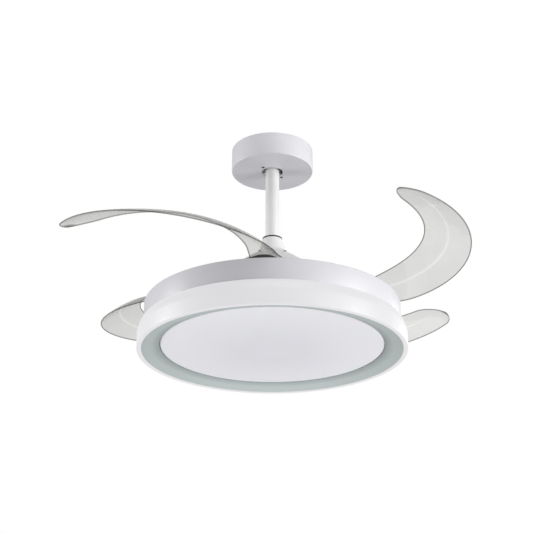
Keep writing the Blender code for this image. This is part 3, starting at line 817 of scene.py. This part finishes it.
# ================================================================ blades
ARC_CENTRE = (119.5, -182.0)
ARC_R = 186.5
ARC = (95.0, -63.5)
BLADE_H = (18.0, 74.0)
HALF_WIDTH = (36.0, 36.0, 57.5, 30.5)
PITCH = (0.0, -63.5, -10.0, -18.5)
CROWN = (2.5, 10.5, -2.0, 4.5)
FLAT_ROOT = (0.095, 0.21)
ROOT_TRIM = (11.0, 0.3)
TIP = (0.3, 0.95, 0.905)
HALF_THICK = 1.2


def along(values, u):
    a, b, c, d = values
    v = 1 - u
    return a * v**3 + 3 * b * v * v * u + 3 * c * v * u * u + d * u**3


def ease(u):
    t = min(1.0, max(0.0, (u - FLAT_ROOT[0]) / (FLAT_ROOT[1] - FLAT_ROOT[0])))
    return t * t * (3 - 2 * t)


def blade_section(u):
    a = math.radians(ARC[0] + (ARC[1] - ARC[0]) * u)
    out = Vector((math.cos(a), math.sin(a), 0))
    trim = ROOT_TRIM[0] * max(0.0, 1 - (u / ROOT_TRIM[1]) ** 2) ** 2
    centre = Vector((*ARC_CENTRE, Z(BLADE_H[0] + (BLADE_H[1] - BLADE_H[0]) * u)))
    centre += out * (ARC_R - trim)
    tilt = math.radians(along(PITCH, u)) * ease(u)
    side = out * math.cos(tilt) + Vector((0, 0, math.sin(tilt)))
    up = Vector((0, 0, math.cos(tilt))) - out * math.sin(tilt)
    width = along(HALF_WIDTH, u) - trim
    crown = along(CROWN, u) * ease(u) + 0.6 * (1 - ease(u))
    skew, from_outer, from_inner = TIP
    outer = min(1.0, max(0.0, (u - from_outer) / (1 - from_outer)))
    inner = min(1.0, max(0.0, (u - from_inner) / (1 - from_inner)))
    outer = skew + (1 - skew) * max(0.0, 1 - outer * outer) ** 0.65
    inner = (1 + skew) * max(0.0, 1 - inner * inner) ** 0.52 - skew
    round_off = (outer + inner) / 2
    centre += side * (width * (outer - inner) / 2)
    return centre, side, up, width * round_off, crown * round_off


def blade_rows(stations=150):
    """Cross-sections from root to tip. Each is a loop: over the top, round one edge, back below, round the other."""
    rows, edge_shades, lines = [], [], []
    for i in range(stations):
        t = i / (stations - 1)
        # Sections crowd together towards the rounded tip.
        u = 0.9 * t / 0.72 if t < 0.72 else 0.9 + 0.0998 * math.sin((t - 0.72) / 0.28 * math.pi / 2)
        centre, side, up, width, crown = blade_section(u)
        thick = min(HALF_THICK, width * 0.6)
        flat = max(width - thick, 0.05)
        spots = [-1 + 2 * j / 20 for j in range(21)]
        spots = sorted(set(round(s, 4) for s in spots) | {-0.06, -0.03, 0.03, 0.06})
        verge = 1 - min(0.04, 0.9 / flat)
        spots = [-1.0, -verge, *spots[1:-1], verge, 1.0]
        loop, edge_shade, line = [], [], []

        def at(s, lift):
            x = s * flat
            arch = crown * (1 - (x / width) ** 2) if width > 1e-6 else 0.0
            return centre + side * x + up * (arch + lift)

        rib_fade = min(1.0, max(0.0, (u - 0.12) / 0.1)) * min(1.0, max(0.0, (0.93 - u) / 0.1))
        for s in spots:
            loop.append(at(s, thick))
            # 1 on the blade's edges: these are painted dark, painted shade.
            edge_shade.append(1.0 if abs(s) > 0.999 else 0.0)
            # The rib's line, which is painted lighter: a painted highlight.
            line.append(math.exp(-((s * flat / 1.9) ** 2)) * rib_fade)
        edge = at(1, 0)
        for j in range(1, 6):
            a = math.pi * j / 6
            loop.append(edge + side * (thick * math.sin(a)) + up * (thick * math.cos(a)))
            edge_shade.append(1.0)
            line.append(0.0)
        for s in reversed(spots):
            rib = 0.55 * math.exp(-((s * flat / 1.9) ** 2)) * rib_fade
            loop.append(at(s, -thick - rib))
            edge_shade.append(1.0 if abs(s) > 0.999 else 0.0)
            line.append(math.exp(-((s * flat / 1.9) ** 2)) * rib_fade)
        edge = at(-1, 0)
        for j in range(1, 6):
            a = math.pi * j / 6
            loop.append(edge - side * (thick * math.sin(a)) - up * (thick * math.cos(a)))
            edge_shade.append(1.0)
            line.append(0.0)
        rows.append(loop)
        # The tip and the root end are painted dark too: painted shade.
        if u > 0.985:
            near = min(1.0, (u - 0.985) / 0.01)
            edge_shade = [max(m, near) for m in edge_shade]
        if u < 0.006:
            edge_shade = [max(m, 1 - u / 0.006) for m in edge_shade]
        edge_shades.append(edge_shade)
        lines.append(line)
    return rows, edge_shades, lines


ROWS, EDGE_SHADE_ROWS, RIB_HIGHLIGHT_ROWS = blade_rows()


def blade_mesh(degrees):
    spin = Matrix.Rotation(math.radians(degrees), 3, "Z")
    made = bmesh.new()
    edge_painted_shade = made.verts.layers.float.new("edge_painted_shade")
    rib = made.verts.layers.float.new("rib")
    rows = []
    for points, edge_shades, lines in zip(ROWS, EDGE_SHADE_ROWS, RIB_HIGHLIGHT_ROWS):
        row = []
        for point, edge_shade, line in zip(points, edge_shades, lines):
            vert = made.verts.new(spin @ point)
            vert[edge_painted_shade] = edge_shade
            vert[rib] = line
            row.append(vert)
        rows.append(row)
    count = len(rows[0])
    for a, b in zip(rows, rows[1:]):
        for i in range(count):
            j = (i + 1) % count
            made.faces.new((a[i], a[j], b[j], b[i]))
    half = count // 2
    for row in (rows[0], rows[-1]):
        for i in range(half):
            j = i + 1
            one, two = row[(-3 + i) % count], row[(-3 + j) % count]
            three, four = row[(-3 - j) % count], row[(-3 - i) % count]
            corners = list(dict.fromkeys((one, two, three, four)))
            if len(corners) > 2:
                made.faces.new(corners)
    return made


def hull_outline(c1, r1, c2, r2, per_circle=30):
    dx, dy = c2[0] - c1[0], c2[1] - c1[1]
    length = math.hypot(dx, dy)
    heading = math.degrees(math.atan2(dy, dx))
    lean = math.degrees(math.acos((r1 - r2) / length))
    points = []
    for i in range(per_circle):
        points.append(on_circle(r1, heading + lean + (360 - 2 * lean) * i / (per_circle - 1), c1))
    for i in range(per_circle):
        points.append(on_circle(r2, heading - lean + 2 * lean * i / (per_circle - 1), c2))
    return points


def stack_mesh(levels):
    made = bmesh.new()
    loops = [[made.verts.new((x, y, z)) for x, y in outline] for outline, z in levels]
    for low, high in zip(loops, loops[1:]):
        for i in range(len(low)):
            j = (i + 1) % len(low)
            made.faces.new((low[i], low[j], high[j], high[i]))
    made.faces.new(list(reversed(loops[0])))
    made.faces.new(loops[-1])
    return made


for k in range(4):
    number = k + 1
    turn = 90.0 * k
    body = "blade_%d" % number
    px, py = pivots[k]
    blade = piece(
        "clear_blade_%d" % number, blade_mesh(turn), CLEAR, body, ("blade_%d" % number,)
    )
    cut(blade, (px, py, Z(8), Z(34), 16.0))

    levels = [(0.5, 27.8), (0.15, 28.0), (0.0, 28.4)]
    for j in range(7):
        a = math.pi / 2 * j / 6
        levels.append((2.6 * (1 - math.cos(a)), 39.8 + 2.6 * math.sin(a)))
    cap = stack_mesh(
        [
            (hull_outline((132.0, -14.5), 25.0 - shrink, PIVOT, 15.0 - shrink), Z(h))
            for shrink, h in levels
        ]
    )
    bmesh.ops.rotate(
        cap, verts=cap.verts, cent=(0, 0, 0), matrix=Matrix.Rotation(math.radians(turn), 3, "Z")
    )
    piece("root_cap_%d" % number, cap, BLACK_PLASTIC, body, ("blade_cap_%d" % number,))


# ================================================================ carried-over pieces
SLOT_FINISH = {
    "white_paint": WHITE_PAINT,
    "white_plastic": WHITE_PLASTIC,
    "clear_plastic": CLEAR,
    "opal_plastic": OPAL,
    "black_plastic": BLACK_PLASTIC,
    "black_rubber": RUBBER,
    "silver_paint": SILVER,
    "zinc_steel": ZINC,
    "dark_steel": DARK_STEEL,
    "nylon": NYLON,
    "copper": COPPER,
    "board": BOARD,
}
for entry in frame["record"]["subparts"]:
    node = frame["nodes"].get(entry.get("node"))
    if node is None or node.hide_render:
        continue
    node.data.materials.clear()
    node.data.materials.append(SLOT_FINISH[entry["material_slot"]])
    node.data.shade_smooth()
    weld = node.modifiers.new("weld", "WELD")
    weld.merge_threshold = 0.00001
    split = node.modifiers.new("split", "EDGE_SPLIT")
    split.split_angle = math.radians(32)


# ================================================================ stage and light
def stage_material():
    f = Finish("floor_pale")
    shade = f.blend(f.span(f.noise(1.5, 3.0), 0.0, 1.0), (0.80, 0.80, 0.80), (0.84, 0.84, 0.84))
    return f.finish(shade, f.span(f.noise(12.0), 0.6, 0.8), f.bump(f.noise(160.0), 0.05, 0.001))


floor_data = bmesh.new()
bmesh.ops.create_grid(floor_data, x_segments=8, y_segments=8, size=14.0)
bmesh.ops.translate(floor_data, verts=floor_data.verts, vec=(0, 0, -2.45))
floor_mesh = bpy.data.meshes.new("floor")
floor_data.to_mesh(floor_mesh)
floor_data.free()
floor_mesh.materials.append(stage_material())
floor = bpy.data.objects.new("floor", floor_mesh)
scene.collection.objects.link(floor)


def softbox(name, place, target, size, power, colour=(1.0, 1.0, 1.0)):
    data = bpy.data.lights.new(name, "AREA")
    data.shape = "RECTANGLE"
    data.size, data.size_y = size
    data.energy = power
    data.color = colour
    light = bpy.data.objects.new(name, data)
    light.location = place
    light.rotation_euler = (Vector(target) - Vector(place)).to_track_quat("-Z", "Y").to_euler()
    light.visible_camera = False
    scene.collection.objects.link(light)
    return light


AIM = (0.0, 0.0, -0.3)
softbox("key_box", (2.4432, -0.8893, -0.55), AIM, (0.9, 2.2), 49.5)
softbox("front_right_box", (1.8385, -1.8385, -0.55), AIM, (0.9, 2.2), 18.0)
softbox("back_right_box", (1.9917, 1.6713, -0.55), AIM, (0.9, 2.2), 18.0)
softbox("left_box", (-2.6, 0.0, -0.55), AIM, (0.9, 2.2), 48.0)
softbox("under_box", (0.0, 0.7, -2.2), AIM, (2.6, 1.6), 9.0)
softbox("top_box", (0.0, -1.6, 1.6), AIM, (2.4, 1.2), 12.0)

world = bpy.data.worlds.new("studio")
scene.world = world
world.use_nodes = True
tree = world.node_tree
tree.nodes.clear()
output = tree.nodes.new("ShaderNodeOutputWorld")
mix = tree.nodes.new("ShaderNodeMixShader")
rays = tree.nodes.new("ShaderNodeLightPath")
seen = tree.nodes.new("ShaderNodeBackground")
seen.inputs["Color"].default_value = (1.0, 1.0, 1.0, 1.0)
seen.inputs["Strength"].default_value = 1.0
fill = tree.nodes.new("ShaderNodeBackground")
fill.inputs["Color"].default_value = (0.985, 0.985, 1.0, 1.0)
fill.inputs["Strength"].default_value = 0.44
tree.links.new(rays.outputs["Is Camera Ray"], mix.inputs[0])
tree.links.new(fill.outputs[0], mix.inputs[1])
tree.links.new(seen.outputs[0], mix.inputs[2])
tree.links.new(mix.outputs[0], output.inputs["Surface"])

scene.view_settings.view_transform = "Standard"
scene.view_settings.look = "None"
scene.view_settings.exposure = 0.0
scene.view_settings.gamma = 1.0
scene.cycles.max_bounces = 10
scene.cycles.transparent_max_bounces = 24
scene.cycles.sample_clamp_indirect = 4.0
